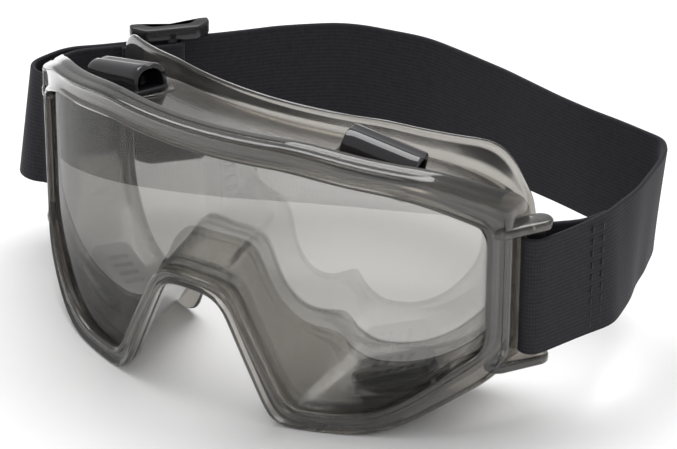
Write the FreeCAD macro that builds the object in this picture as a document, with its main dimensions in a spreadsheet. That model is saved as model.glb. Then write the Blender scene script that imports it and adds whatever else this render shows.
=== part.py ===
"""Safety goggles: soft moulded mask, curved lens, four vent caps with their clips,
elastic headband and its slider.  Millimetres, +X to the wearer's left, front at -Y, +Z up."""
import FreeCAD, Part
import Sketcher
import math
import os
from FreeCAD import Placement, Rotation, Vector

os.makedirs("parts", exist_ok=True)
doc = FreeCAD.newDocument("goggles")

# ---------------------------------------------------------------- driving sizes
SIZES = {
    # mask, seen from the front
    "rim_half_width": 85.5, "rim_height": 92.7, "wrap_angle": 52.48,
    "rim_side": 5.0, "rim_top": 8.1, "rim_bottom": 5.5, "rim_nose": 4.5,
    "nose_top": 38.9, "nose_half": 9.0, "lobe_inner": 27.5, "lobe_outer": 58.0,
    "brow_drop": 8.2, "temple_drop": 18.7, "cheek_rise": 20.0,
    # mask, front to back
    "rim_front": 2.5, "rim_back": 2.5, "mask_depth": 38.8, "face_radius": 115.0,
    "wall": 1.7, "flange_thick": 1.6, "nose_relief": 30.0, "nose_relief_back": 45.8, "nose_relief_drop": 4.9,
    "wall_lead": 6.0, "wall_run": 74.0, "wall_lap": 1.5,
    "nose_slit": 0.9, "slit_depth": 9.5, "slit_tall": 12.0, "slit_rise": 1.5, "slit_inset": 1.2,
    "slit_front": 99.0,
    # lens in its groove
    "lens_thick": 2.0, "lens_lip": 3.0, "groove_gap": 0.05, "tab_width": 9.0, "tab_reach": 1.6,
    "tab_root": 1.0, "tab_gap": 0.15, "tab_trim": 0.8, "tab_top_angle": 18.5, "tab_low_angle": 25.0,
    # vents
    "cap_length": 26.0, "cap_width": 15.0, "cap_base": 1.2, "top_cap_rise": 7.4, "low_cap_rise": 5.0,
    "dome_length": 23.4, "dome_width": 12.8, "cap_skin": 1.3, "neck_length": 18.0, "neck_width": 8.5,
    "seat_thick": 2.0, "seat_gap": 0.75, "neck_gap": 0.3, "clip_rim": 1.4, "clip_grille": 1.2,
    "clip_gap": 0.05, "clip_border": 2.4, "clip_room": 0.3, "clip_corner": 2.0,
    "grille_slot": 1.8, "grille_pitch": 3.6, "grille_edge": 1.6,
    "cap_corner": 3.2, "dome_corner": 2.6, "dome_crown": 2.5, "mouth_inset": 4.6, "vent_flush": 0.3,
    "top_vent_in": 39.5, "top_vent_back": 14.8, "low_vent_in": 34.0, "low_vent_back": 14.0,
    "low_vent_rise": 10.8, "low_vent_tilt": 21.0, "low_vent_yaw": 20.0,
    # lugs and strap posts
    "post_radius": 1.5, "post_out": 3.0, "arm_half": 3.6, "arm_thick": 3.2, "slot_half": 20.5,
    "slot_clear": 2.4, "arm_root_in": 4.0, "arm_root_front": 3.0, "left_lean": 17.0, "right_lean": 40.0,
    # headband
    "band_width": 38.0, "band_thick": 1.5, "band_mid": 43.0, "band_back": 94.5, "loop_gap": 1.3,
    "loop_play": 2.5, "ply_gap": 0.2, "tail_length": 24.0, "thread": 0.6, "stitch": 2.4,
    "stitch_pitch": 4.0, "stitch_margin": 6.0, "thread_proud": 0.15, "layer_gap": 0.5,
    "seam_near": 17.0, "seam_far": 21.0, "temple_ahead": 7.0, "side_out": 14.4, "side_back": 4.6,
    # slider
    "slider_length": 26.0, "slider_height": 48.0, "slider_bar": 3.4, "slider_gap": 0.3,
    "slider_plate": 1.5, "slider_place": 26.0, "bar_gap": 0.15, "bar_inset": 2.0, "return_stop": 15.5,
    "end_front": 16.5, "end_seam": 8.5, "end_bend": 4.0, "end_row_near": 10.9, "end_row_far": 13.3,
}
sheet = doc.addObject("Spreadsheet::Sheet", "sizes")
for row, (alias, value) in enumerate(SIZES.items(), start=1):
    sheet.set("A%d" % row, alias)
    sheet.set("B%d" % row, str(value))
    sheet.setAlias("B%d" % row, alias)
doc.recompute()


def size(alias):
    return float(getattr(sheet, alias))


half = size("rim_half_width")
height = size("rim_height")
lens_radius = half / math.sin(math.radians(size("wrap_angle")))
lens_inner = lens_radius - size("lens_thick")
rim_outer_radius = lens_radius + size("rim_front")
rim_inner_radius = lens_inner - size("rim_back")
band_rear = -math.sqrt(rim_inner_radius ** 2 - half ** 2) + size("band_back")
# the lens cylinder's axis stands at y = axis_y, so that the origin is under the middle of the whole
axis_y = (rim_outer_radius - band_rear) / 2.0
face_axis_y = axis_y - lens_radius + size("mask_depth") + size("face_radius")
FRONT_PLANE = axis_y - lens_radius - size("wall_lead")
REAR_PLANE = FRONT_PLANE + size("wall_run")
# how far a cutting or trimming shape runs past what it works on
SPARE = 20.0
UP = Vector(0, 0, 1)


# ---------------------------------------------------------------- outlines
def mirrored(points):
    """Clockwise outline (seen from the front) from its half at x > 0, top to bottom."""
    return points + [(-x, z, r) for x, z, r in reversed(points)]


def grow(points, step):
    """Parallel outline, step outwards: every side moves by step and the corner radii follow."""
    count = len(points)
    sides = []
    for i in range(count):
        a = Vector(points[i][0], 0, points[i][1])
        b = Vector(points[(i + 1) % count][0], 0, points[(i + 1) % count][1])
        along = (b - a).normalize()
        normal = Vector(-along.z, 0, along.x)
        sides.append((a + normal * step, along))
    grown = []
    for i in range(count):
        (a, u), (b, v) = sides[i - 1], sides[i]
        cross = u.x * v.z - u.z * v.x
        reach = ((b.x - a.x) * v.z - (b.z - a.z) * v.x) / cross
        corner = a + u * reach
        turn = step if cross < 0 else -step
        grown.append((corner.x, corner.z, max(points[i][2] + turn, 0.4)))
    return grown


def outline_wire(points, y):
    """Closed wire in the plane y: straight sides joined by tangent arcs."""
    count = len(points)
    corners = []
    for i in range(count):
        before, here, after = points[i - 1], points[i], points[(i + 1) % count]
        p = Vector(here[0], y, here[1])
        to_before = (Vector(before[0], y, before[1]) - p).normalize()
        to_after = (Vector(after[0], y, after[1]) - p).normalize()
        inside = to_before.getAngle(to_after)
        reach = here[2] / math.tan(inside / 2.0)
        towards = (to_before + to_after).normalize()
        middle = p + towards * (here[2] / math.sin(inside / 2.0) - here[2])
        corners.append((p + to_before * reach, middle, p + to_after * reach))
    edges = []
    for i in range(count):
        start, middle, end = corners[i]
        edges.append(Part.Arc(start, middle, end).toShape())
        edges.append(Part.LineSegment(end, corners[(i + 1) % count][0]).toShape())
    return Part.Wire(edges)


def prism(points):
    """The outline run straight from in front of the mask to behind it."""
    depth = REAR_PLANE - FRONT_PLANE + 4 * SPARE
    return Part.Face(outline_wire(points, FRONT_PLANE - SPARE)).extrude(Vector(0, depth, 0))


def taper(front, rear):
    """Solid between an outline at the front plane and one at the rear plane."""
    return Part.makeLoft([outline_wire(front, FRONT_PLANE), outline_wire(rear, REAR_PLANE)], True, True)


def upright(radius, centre_y):
    return Part.makeCylinder(radius, height + 2 * SPARE, Vector(0, centre_y, -SPARE), UP)


def shell(outer, inner, centre_y):
    """Front half of an upright tube."""
    corner = Vector(-2 * outer, centre_y - 2 * outer, -2 * SPARE)
    front_half = Part.makeBox(4 * outer, 2 * outer, height + 4 * SPARE, corner)
    return upright(outer, centre_y).cut(upright(inner, centre_y)).common(front_half)


def front_y(radius, x):
    """Front of an upright cylinder about the lens axis, at the given x."""
    return axis_y - math.sqrt(radius ** 2 - x ** 2)


rim_outline = mirrored([
    (34.0, height - 0.4, 60.0),
    (half - 18.0, height - size("brow_drop"), 30.0),
    (half, height - size("temple_drop"), 7.0),
    (half, size("cheek_rise"), 12.0),
    (size("lobe_outer"), 0.0, 28.0),
    (size("lobe_inner"), 0.0, 7.5),
    (size("nose_half") + 1.0, size("nose_top"), 8.0),
])
window_half = half - size("rim_side")
window_top = height - size("rim_top")
window_low = size("rim_bottom")
window_outline = mirrored([
    (32.0, window_top - 0.3, 60.0),
    (window_half - 15.5, window_top - 6.8, 38.0),
    (window_half, window_top - 17.6, 4.5),
    (window_half, size("cheek_rise") + 7.0, 8.0),
    (size("lobe_outer") - 2.6, window_low, 30.0),
    (size("lobe_inner") + 3.6, window_low, 5.5),
    (size("nose_half") + 3.2, size("nose_top") + size("rim_nose"), 9.0),
])
wall_front = mirrored([
    (34.0, height - 5.2, 60.0),
    (half - 17.5, height - 12.4, 30.0),
    (half - 1.7, height - 23.0, 8.0),
    (half - 1.7, size("cheek_rise") + 2.0, 12.0),
    (size("lobe_outer"), 2.2, 28.0),
    (size("lobe_inner") + 1.5, 2.2, 8.0),
    (size("nose_half") + 1.2, size("nose_top") + 1.3, 7.0),
])
wall_rear = mirrored([
    (38.0, height - 17.4, 60.0),
    (half - 19.5, height - 23.0, 22.0),
    (half - 10.7, height - 32.0, 11.0),
    (half - 10.7, size("cheek_rise") + 4.5, 14.0),
    (size("lobe_outer") - 2.0, 12.6, 28.0),
    (size("lobe_inner") + 3.0, 12.6, 8.0),
    (size("nose_half") + 1.6, size("nose_top") + 27.5, 7.0),
])
flange_outline = mirrored([
    (38.0, height - 6.6, 60.0),
    (half - 16.0, height - 11.7, 9.0),
    (half - 9.0, height - 32.7, 20.0),
    (half - 9.0, size("cheek_rise") + 3.0, 18.0),
    (size("lobe_outer") - 1.0, 0.3, 28.0),
    (size("lobe_inner") + 2.0, 0.3, 9.0),
    (size("nose_half") + 0.6, size("nose_top") + 14.0, 6.0),
])
opening_outline = mirrored([
    (38.0, height - 15.5, 60.0),
    (half - 23.0, height - 21.5, 22.0),
    (half - 17.0, height - 33.0, 12.0),
    (half - 17.0, size("cheek_rise") + 9.0, 20.0),
    (size("lobe_outer") - 6.0, 12.2, 26.0),
    (size("lobe_inner") + 3.5, 12.2, 10.0),
    (size("nose_half") + 5.5, size("nose_top") + 12.5, 7.0),
])


def brow_z(x, y):
    """Height of the outside of the sloping brow wall above (x, y)."""
    levels = []
    for outline in (wall_front, wall_rear):
        (x1, z1, _), (x2, z2, _) = outline[0], outline[1]
        levels.append(z1 + (z2 - z1) * (x - x1) / (x2 - x1))
    share = (y - FRONT_PLANE) / (REAR_PLANE - FRONT_PLANE)
    return levels[0] + (levels[1] - levels[0]) * share


# ---------------------------------------------------------------- vent places
def vent_places():
    """Name to Placement of each vent: local Z points out of the wall, local X along the cap."""
    places = {}
    x = half - size("top_vent_in")
    y = front_y(rim_inner_radius, x) + size("top_vent_back")
    normal = Vector(
        (brow_z(x - 1, y) - brow_z(x + 1, y)) / 2.0,
        (brow_z(x, y - 1) - brow_z(x, y + 1)) / 2.0,
        1.0,
    ).normalize()
    centre = Vector(x, y, brow_z(x, y)) - normal * size("vent_flush")
    yaw = math.asin((x / 2.0) / rim_inner_radius)
    low_x = half - size("low_vent_in")
    low_y = front_y(rim_inner_radius, low_x) + size("low_vent_back")
    tilt = math.radians(size("low_vent_tilt"))
    low_normal = Vector(math.sin(tilt), 0, -math.cos(tilt))
    low_centre = Vector(low_x, low_y, size("low_vent_rise"))
    low_yaw = math.radians(size("low_vent_yaw"))
    for side, name in ((1, "left"), (-1, "right")):
        for level, c, n, turn in (("top", centre, normal, yaw), ("bottom", low_centre, low_normal, low_yaw)):
            z_axis = Vector(side * n.x, n.y, n.z)
            along = Vector(math.cos(turn), side * math.sin(turn), 0)
            y_axis = z_axis.cross(along).normalize()
            x_axis = y_axis.cross(z_axis)
            rotation = Rotation(x_axis, y_axis, z_axis, "ZXY")
            places["%s_%s" % (level, name)] = Placement(Vector(side * c.x, c.y, c.z), rotation)
    return places


VENTS = vent_places()


def vent_box(place, length, width, low, high):
    """Box about a vent's own axis, from local z = low to high."""
    box = Part.makeBox(length, width, high - low, Vector(-length / 2, -width / 2, low))
    box.Placement = place
    return box


# ---------------------------------------------------------------- headband route, seen from above
band_t = size("band_thick")
post_x = half + size("post_out")
post_y = front_y(rim_inner_radius, half)
loop_side = size("post_radius") + size("loop_gap") + band_t / 2.0
loop_play = size("loop_play")
rear_y = axis_y + band_rear
LEFT_POST_LEAN = math.radians(size("left_lean"))
RIGHT_POST_LEAN = math.radians(size("right_lean"))
left_post = Vector(post_x, post_y, 0)
right_post = Vector(-post_x, post_y, 0)


def local_frame(origin, angle, side):
    """Maps (along, outward, radius) to plan points, along pointing backwards and out by angle."""
    along = Vector(side * math.sin(angle), math.cos(angle), 0)
    outward = Vector(side * math.cos(angle), -math.sin(angle), 0)

    def place(points):
        placed = []
        for s, d, r in points:
            p = origin + along * s + outward * d
            placed.append((p.x, p.y, r))
        return placed

    return place, along, outward


def ribbon(points, thick, low, high):
    """Upright band: the plan line of straight runs and tangent arcs, thickened and extruded."""
    sides = []
    for offset in (thick / 2.0, -thick / 2.0):
        edges = []
        last = None
        for i, (x, y, r) in enumerate(points):
            p = Vector(x, y, low)
            if i == 0 or i == len(points) - 1:
                neighbour = points[1] if i == 0 else points[-2]
                run = (Vector(neighbour[0], neighbour[1], low) - p).normalize()
                if i:
                    run = run * -1
                here = p + Vector(-run.y, run.x, 0) * offset
                if last is not None:
                    edges.append(Part.LineSegment(last, here).toShape())
                last = here
                continue
            before = (p - Vector(points[i - 1][0], points[i - 1][1], low)).normalize()
            after = (Vector(points[i + 1][0], points[i + 1][1], low) - p).normalize()
            left_turn = before.x * after.y - before.y * after.x > 0
            turn = before.getAngle(after)
            reach = r * math.tan(turn / 2.0)
            normal = Vector(-before.y, before.x, 0) * (1 if left_turn else -1)
            centre = p - before * reach + normal * r
            radius = r - offset if left_turn else r + offset
            towards = (p - centre).normalize()
            start = centre - normal * radius
            leave = Vector(-after.y, after.x, 0) * (1 if left_turn else -1)
            end = centre - leave * radius
            if last is not None and (start - last).Length > 1e-6:
                edges.append(Part.LineSegment(last, start).toShape())
            edges.append(Part.Arc(start, centre + towards * radius, end).toShape())
            last = end
        sides.append(edges)
    first, second = sides
    a0 = first[0].Vertexes[0].Point
    b0 = second[0].Vertexes[0].Point
    a1 = first[-1].Vertexes[-1].Point
    b1 = second[-1].Vertexes[-1].Point
    ends = [Part.LineSegment(a0, b0).toShape(), Part.LineSegment(a1, b1).toShape()]
    wire = Part.Wire(Part.__sortEdges__(first + second + ends))
    return Part.Face(wire).extrude(Vector(0, 0, high - low))


def beside(before, here, after, step):
    """Corner of the line that runs step to the left of before-here-after."""
    u = (here - before).normalize()
    v = (after - here).normalize()
    turned = Vector(-u.y - v.y, u.x + v.x, 0)
    return here + turned * (step / (1.0 + u.dot(v)))


def headband_layout():
    """Plan points of the long band and of its sewn end, and the slider's frame."""
    lap = loop_side - band_t - size("ply_gap")
    place_left, _, _ = local_frame(left_post, LEFT_POST_LEAN, 1)
    place_right, _, _ = local_frame(right_post, RIGHT_POST_LEAN, -1)
    fold = loop_play + loop_side
    tail = size("tail_length")
    left_loop = [
        (tail, lap, 0), (tail - 9.0, lap, 12.0), (5.0, -loop_side, 9.0),
        (-fold, -loop_side, loop_side), (-fold, loop_side, loop_side), (tail + 3.0, loop_side, 30.0),
    ]
    route = place_left(left_loop) + [
        (post_x + 12.3, post_y + 38.0, 50.0),
        (post_x + 7.0, post_y + 64.0, 40.0),
        (post_x - 0.5, post_y + 75.0, 7.0),
        (post_x - 28.5, rear_y - 15.0, 60.0),
        (22.0, rear_y - 6.0, 60.0),
        (-12.0, rear_y - band_t / 2.0, 36.0),
        (-38.0, rear_y - 5.8, 36.0),
    ]
    stretch_back = Vector(-(post_x - 31.5), rear_y - 21.5, 0)
    stretch_front = Vector(-(post_x + 9.0), post_y + 27.5, 0)
    run = (stretch_front - stretch_back).normalize()
    outward = Vector(run.y, -run.x, 0)
    if outward.x > 0:
        outward = outward * -1
    centre = stretch_front - run * size("slider_place")
    layer_step = band_t + size("layer_gap")
    # the outer layer turns twice beside the temple on its way to the post
    temple = stretch_front + run * size("temple_ahead")
    side_corner = Vector(-(post_x + size("side_out")), post_y + size("side_back"), 0)
    to_post = place_right([(6.0, loop_side, 6.0)])
    post_side = Vector(to_post[0][0], to_post[0][1], 0)
    temple_turn = 14.0
    side_turn = 6.5
    route += [(stretch_back.x, stretch_back.y, 24.0), (temple.x, temple.y, temple_turn)]
    route += [(side_corner.x, side_corner.y, side_turn)] + to_post
    route += place_right([(-fold, loop_side, loop_side), (-fold, -loop_side, loop_side)])
    route += place_right([(3.0, -loop_side, 6.0)])
    # the returning layer runs inside the outer one, up to the slider
    inner_side = beside(temple, side_corner, post_side, layer_step)
    inner_temple = beside(stretch_back, temple, side_corner, layer_step)
    return_end = centre + run * size("return_stop") - outward * layer_step
    route += [(inner_side.x, inner_side.y, side_turn - layer_step)]
    route += [(inner_temple.x, inner_temple.y, temple_turn - layer_step), (return_end.x, return_end.y, 0)]
    return route, centre, run, outward, -layer_step


BAND_ROUTE, SLIDER_CENTRE, SLIDER_RUN, SLIDER_OUT, INNER_LAYER = headband_layout()
# slider frame: local X runs forward along the band, local Y outward, local Z up or down with the pair
SLIDER_UP = SLIDER_RUN.cross(SLIDER_OUT)
slider_place = Placement(
    Vector(SLIDER_CENTRE.x, SLIDER_CENTRE.y, size("band_mid")),
    Rotation(SLIDER_RUN, SLIDER_OUT, SLIDER_UP, "ZXY"),
)
bar_thick = size("slider_plate")
centre_bar_mid = INNER_LAYER - band_t / 2.0 - size("bar_gap") - bar_thick / 2.0


# ---------------------------------------------------------------- mask
def make_arm(post, side, low):
    """Rounded arm from the mask's side out to the strap post."""
    root_x = half - size("arm_root_in")
    root = Vector(side * root_x, front_y(rim_inner_radius + size("arm_root_front"), root_x), low)
    tip = Vector(post.x, post.y, low)
    radius = size("arm_half")
    thick = size("arm_thick")
    run = tip - root
    arm = Part.makeCylinder(radius, thick, root, UP).fuse(Part.makeCylinder(radius, thick, tip, UP))
    web = Part.makeBox(run.Length, 2 * radius, thick, Vector(0, -radius, 0))
    web.Placement = Placement(root, Rotation(Vector(1, 0, 0), run))
    return arm.fuse(web)


def strap_clearance(post, lean, side):
    """Space that the headband's loop sweeps about its post."""
    _, along, _ = local_frame(post, lean, side)
    radius = loop_side + band_t / 2.0 + size("slot_clear")
    low = size("band_mid") - size("slot_half")
    tall = 2 * size("slot_half")
    a = Vector(post.x, post.y, low) - along * loop_play
    b = Vector(post.x, post.y, low) + along * loop_play
    room = Part.makeCylinder(radius, tall, a, UP).fuse(Part.makeCylinder(radius, tall, b, UP))
    web = Part.makeBox((b - a).Length, 2 * radius, tall, Vector(0, -radius, 0))
    web.Placement = Placement(a, Rotation(Vector(1, 0, 0), b - a))
    return room.fuse(web)


def lens_tab_places():
    """Angles round the lens and heights of its retaining tabs, top and bottom."""
    top = window_top - size("tab_root")
    low = window_low + size("tab_root")
    wide = size("tab_top_angle")
    low_wide = size("tab_low_angle")
    return [(-wide, top), (wide, top), (low_wide, low), (-low_wide, low)]


def lens_tabs(reach, margin):
    """Short tabs on the lens edge; the rim's sockets are the same boxes grown by margin."""
    tabs = []
    width = size("tab_width") + 2 * margin
    for angle, z in lens_tab_places():
        tall = size("lens_lip") + reach + size("tab_root") + margin
        low = z if z > height / 2 else z - tall
        outer = lens_radius + margin
        inner = lens_inner - margin
        ring = Part.makeCylinder(outer, tall, Vector(0, axis_y, low), UP)
        ring = ring.cut(Part.makeCylinder(inner, tall, Vector(0, axis_y, low), UP))
        window = Part.makeBox(width, 2 * SPARE, tall, Vector(-width / 2, -lens_radius - SPARE, low))
        window.Placement = Placement(Vector(0, axis_y, 0), Rotation(UP, angle))
        tabs.append(ring.common(window))
    return tabs


def make_mask():
    rim = shell(rim_outer_radius, rim_inner_radius, axis_y).common(prism(rim_outline))
    rim = rim.cut(prism(window_outline))
    gap = size("groove_gap")
    groove = shell(lens_radius + gap, lens_inner - gap, axis_y)
    groove = groove.common(prism(grow(window_outline, size("lens_lip") + gap)))

    outside = taper(wall_front, wall_rear)
    inside = taper(grow(wall_front, -size("wall")), grow(wall_rear, -size("wall")))
    behind_lens = upright(rim_inner_radius + size("wall_lap"), axis_y)
    face = upright(size("face_radius"), face_axis_y)
    bridge_y = axis_y - lens_radius + size("nose_relief_back")
    bridge = Vector(0, bridge_y, size("nose_top") - size("nose_relief_drop"))
    nose_room = Part.makeSphere(size("nose_relief"), bridge)
    walls = outside.cut(inside).common(behind_lens).cut(face)
    flange = shell(size("face_radius") + size("flange_thick"), size("face_radius"), face_axis_y)
    flange = flange.common(prism(flange_outline).cut(prism(opening_outline)))

    body = rim.fuse([walls, flange]).cut(nose_room)
    for side, post, lean in ((1, left_post, LEFT_POST_LEAN), (-1, right_post, RIGHT_POST_LEAN)):
        top = size("band_mid") + size("slot_half")
        low = size("band_mid") - size("slot_half") - size("arm_thick")
        arms = [make_arm(post, side, level) for level in (low, top)]
        keep_out = outside.common(behind_lens)
        arms = [arm.cut(keep_out) for arm in arms]
        pin = Part.makeCylinder(size("post_radius"), top - low, Vector(post.x, post.y, low), UP)
        body = body.cut(strap_clearance(post, lean, side)).fuse(arms + [pin])

    recess_l = size("cap_length") + 2 * size("seat_gap")
    recess_w = size("cap_width") + 2 * size("seat_gap")
    hole_l = size("neck_length") + 2 * size("neck_gap")
    hole_w = size("neck_width") + 2 * size("neck_gap")
    clip_l = size("neck_length") + 2 * (size("clip_border") + size("clip_room"))
    clip_w = size("neck_width") + 2 * (size("clip_border") + size("clip_room"))
    seat = size("seat_thick")
    for place in VENTS.values():
        frame = vent_box(place, recess_l + 2 * size("wall"), recess_w + 2 * size("wall"), -seat, SPARE / 2)
        body = body.fuse(frame.common(outside).common(upright(rim_inner_radius, axis_y)))
        body = body.cut(vent_box(place, recess_l, recess_w, 0.0, SPARE))
        body = body.cut(vent_box(place, hole_l, hole_w, -SPARE / 2, 1.0))
        body = body.cut(vent_box(place, clip_l, clip_w, -SPARE / 2, -seat))
    slit_x = size("nose_half") - size("slit_inset")
    slit_at = Vector(slit_x, axis_y - size("slit_front"), size("nose_top") + size("slit_rise"))
    slit = Part.makeBox(size("nose_slit"), size("slit_depth"), size("slit_tall"), slit_at)
    body = body.cut([groove, slit] + lens_tabs(size("tab_reach"), size("tab_gap")))
    return body.removeSplitter()


def make_lens():
    plate = shell(lens_radius, lens_inner, axis_y).common(prism(grow(window_outline, size("lens_lip"))))
    trim = prism(grow(window_outline, size("lens_lip") + size("tab_reach") - size("tab_trim")))
    tabs = [tab.common(trim) for tab in lens_tabs(size("tab_reach"), 0.0)]
    return plate.fuse(tabs).removeSplitter()


# ---------------------------------------------------------------- document objects
subparts = []


def add_shape(name, shape):
    feature = doc.addObject("Part::Feature", name)
    feature.Shape = shape
    feature.Label = name
    feature.Placement = Placement()
    subparts.append(feature)
    return feature


def origin_plane(body, role):
    return next(f for f in body.Origin.OriginFeatures if f.Role == role)


def rectangle_sketch(body, name, role, length, width, centre="0", lift="0"):
    """Rectangle sketch on one of the body's own planes, its sizes bound to the sheet."""
    sketch = body.newObject("Sketcher::SketchObject", name)
    sketch.AttachmentSupport = [(origin_plane(body, role), "")]
    sketch.MapMode = "FlatFace"
    x, y = 2.0, 1.0
    corners = [Vector(-x, -y, 0), Vector(x, -y, 0), Vector(x, y, 0), Vector(-x, y, 0)]
    for i in range(4):
        sketch.addGeometry(Part.LineSegment(corners[i], corners[(i + 1) % 4]), False)
    for i in range(4):
        sketch.addConstraint(Sketcher.Constraint("Coincident", i, 2, (i + 1) % 4, 1))
    sketch.addConstraint(Sketcher.Constraint("Horizontal", 0))
    sketch.addConstraint(Sketcher.Constraint("Horizontal", 2))
    sketch.addConstraint(Sketcher.Constraint("Vertical", 1))
    sketch.addConstraint(Sketcher.Constraint("Vertical", 3))
    entries = (("across", "DistanceX", 0, 1, 0, 2, length), ("tall", "DistanceY", 1, 1, 1, 2, width),
               ("from_x", "DistanceX", 0, 1, -1, 1, "(%s) / 2 - (%s)" % (length, centre)),
               ("from_y", "DistanceY", 0, 1, -1, 1, "(%s) / 2" % width))
    for label, kind, e1, p1, e2, p2, formula in entries:
        index = sketch.addConstraint(Sketcher.Constraint(kind, e1, p1, e2, p2, 1.0))
        sketch.renameConstraint(index, label)
        sketch.setExpression("Constraints.%s" % label, formula)
    if lift != "0":
        sketch.setExpression("AttachmentOffset.Base.z", lift)
    return sketch


def add_pad(body, sketch, name, length, reverse=False):
    pad = body.newObject("PartDesign::Pad", name)
    pad.Profile = sketch
    pad.Reversed = reverse
    pad.setExpression("Length", length)
    return pad


def add_pocket(body, sketch, name, length, reverse=False):
    pocket = body.newObject("PartDesign::Pocket", name)
    pocket.Profile = sketch
    pocket.Reversed = reverse
    pocket.setExpression("Length", length)
    return pocket


# slack when edges are picked by where they lie
NEAR = 0.01


def edges_along(shape, axis, low, high):
    """Names of straight edges that run along an axis and lie between two heights."""
    names = []
    for i, edge in enumerate(shape.Edges, start=1):
        box = edge.BoundBox
        spans = {"x": box.XLength, "y": box.YLength, "z": box.ZLength}
        if spans[axis] > 0.9 * edge.Length and low <= box.ZMin and box.ZMax <= high:
            names.append("Edge%d" % i)
    return names


def add_fillet(body, base, name, edges, radius):
    fillet = body.newObject("PartDesign::Fillet", name)
    fillet.Base = (base, edges)
    fillet.Radius = radius
    return fillet


def add_vent_cap(name, place, rise):
    """Loaf-shaped cap: flanged base, hollow dome open at both ends, and a neck through the wall."""
    body = doc.addObject("PartDesign::Body", name)
    body.Label = name
    base = rectangle_sketch(body, name + "_base_plan", "XY_Plane", "sizes.cap_length", "sizes.cap_width")
    base_pad = add_pad(body, base, name + "_base", "sizes.cap_base")
    dome = rectangle_sketch(body, name + "_dome_plan", "XY_Plane", "sizes.dome_length", "sizes.dome_width")
    dome_pad = add_pad(body, dome, name + "_dome", "sizes.cap_base + sizes.%s" % rise)
    neck = rectangle_sketch(body, name + "_neck_plan", "XY_Plane", "sizes.neck_length", "sizes.neck_width")
    add_pad(body, neck, name + "_neck", "sizes.seat_thick + sizes.clip_rim", reverse=True)
    doc.recompute()
    tip = body.Tip
    base_top = size("cap_base")
    top = base_top + size(rise)
    rounds = (
        ("base_corners", "z", -NEAR, base_top + NEAR, size("cap_corner")),
        ("dome_corners", "z", base_top - NEAR, top + NEAR, size("dome_corner")),
        ("dome_top", "x", top - NEAR, top + NEAR, size("dome_crown")),
    )
    for label, axis, low, high, radius in rounds:
        edges = edges_along(tip.Shape, axis, low, high)
        tip = add_fillet(body, tip, "%s_%s" % (name, label), edges, radius)
        doc.recompute()
    inner = rectangle_sketch(
        body, name + "_bore_plan", "XY_Plane", "sizes.neck_length - 2 * sizes.cap_skin",
        "sizes.neck_width - 2 * sizes.cap_skin", lift="sizes.cap_base + sizes.%s - sizes.cap_skin" % rise)
    through = "sizes.cap_base + sizes.%s + sizes.seat_thick + sizes.clip_rim" % rise
    add_pocket(body, inner, name + "_bore", through)
    mouth = rectangle_sketch(
        body, name + "_mouth_plan", "XY_Plane", "sizes.dome_length + 2",
        "sizes.neck_width - sizes.mouth_inset",
        lift="sizes.cap_base + sizes.%s - 2.0 * sizes.cap_skin" % rise)
    add_pocket(body, mouth, name + "_mouths", "sizes.%s - 2.0 * sizes.cap_skin" % rise)
    body.Placement = place
    subparts.append(body)
    return body


def add_vent_clip(name, place):
    """Plate that grips the cap's neck inside the mask; its grille breaks up a splash."""
    body = doc.addObject("PartDesign::Body", name)
    body.Label = name
    top = "-(sizes.seat_thick + sizes.clip_gap)"
    plate = rectangle_sketch(body, name + "_plan", "XY_Plane", "sizes.neck_length + 2 * sizes.clip_border",
                             "sizes.neck_width + 2 * sizes.clip_border", lift=top)
    add_pad(body, plate, name + "_plate", "sizes.clip_rim + sizes.clip_grille", reverse=True)
    collar = rectangle_sketch(
        body, name + "_collar_plan", "XY_Plane", "sizes.neck_length + 2 * sizes.clip_gap",
        "sizes.neck_width + 2 * sizes.clip_gap", lift=top)
    add_pocket(body, collar, name + "_collar", "sizes.clip_rim")
    slot = rectangle_sketch(
        body, name + "_slot_plan", "XY_Plane", "sizes.grille_slot",
        "sizes.neck_width - sizes.grille_edge", centre="-1.5 * sizes.grille_pitch", lift=top)
    first = add_pocket(body, slot, name + "_slot", "sizes.clip_rim + sizes.clip_grille + 1")
    doc.recompute()
    row = body.newObject("PartDesign::LinearPattern", name + "_slots")
    row.Originals = [first]
    row.Direction = (slot, ["H_Axis"])
    row.setExpression("Length", "3 * sizes.grille_pitch")
    row.Occurrences = 4
    body.Tip = row
    doc.recompute()
    tip = add_fillet(body, row, name + "_corners", plate_corners(row.Shape), size("clip_corner"))
    body.Tip = tip
    body.Placement = place
    subparts.append(body)
    return body


def plate_corners(shape):
    """The four upright edges at the outside of a plate."""
    box = shape.BoundBox
    names = []
    for i, edge in enumerate(shape.Edges, start=1):
        e = edge.BoundBox
        outer = abs(abs(e.Center.x) - box.XMax) < NEAR and abs(abs(e.Center.y) - box.YMax) < NEAR
        if outer and e.ZLength > 0.9 * edge.Length:
            names.append("Edge%d" % i)
    return names


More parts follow.
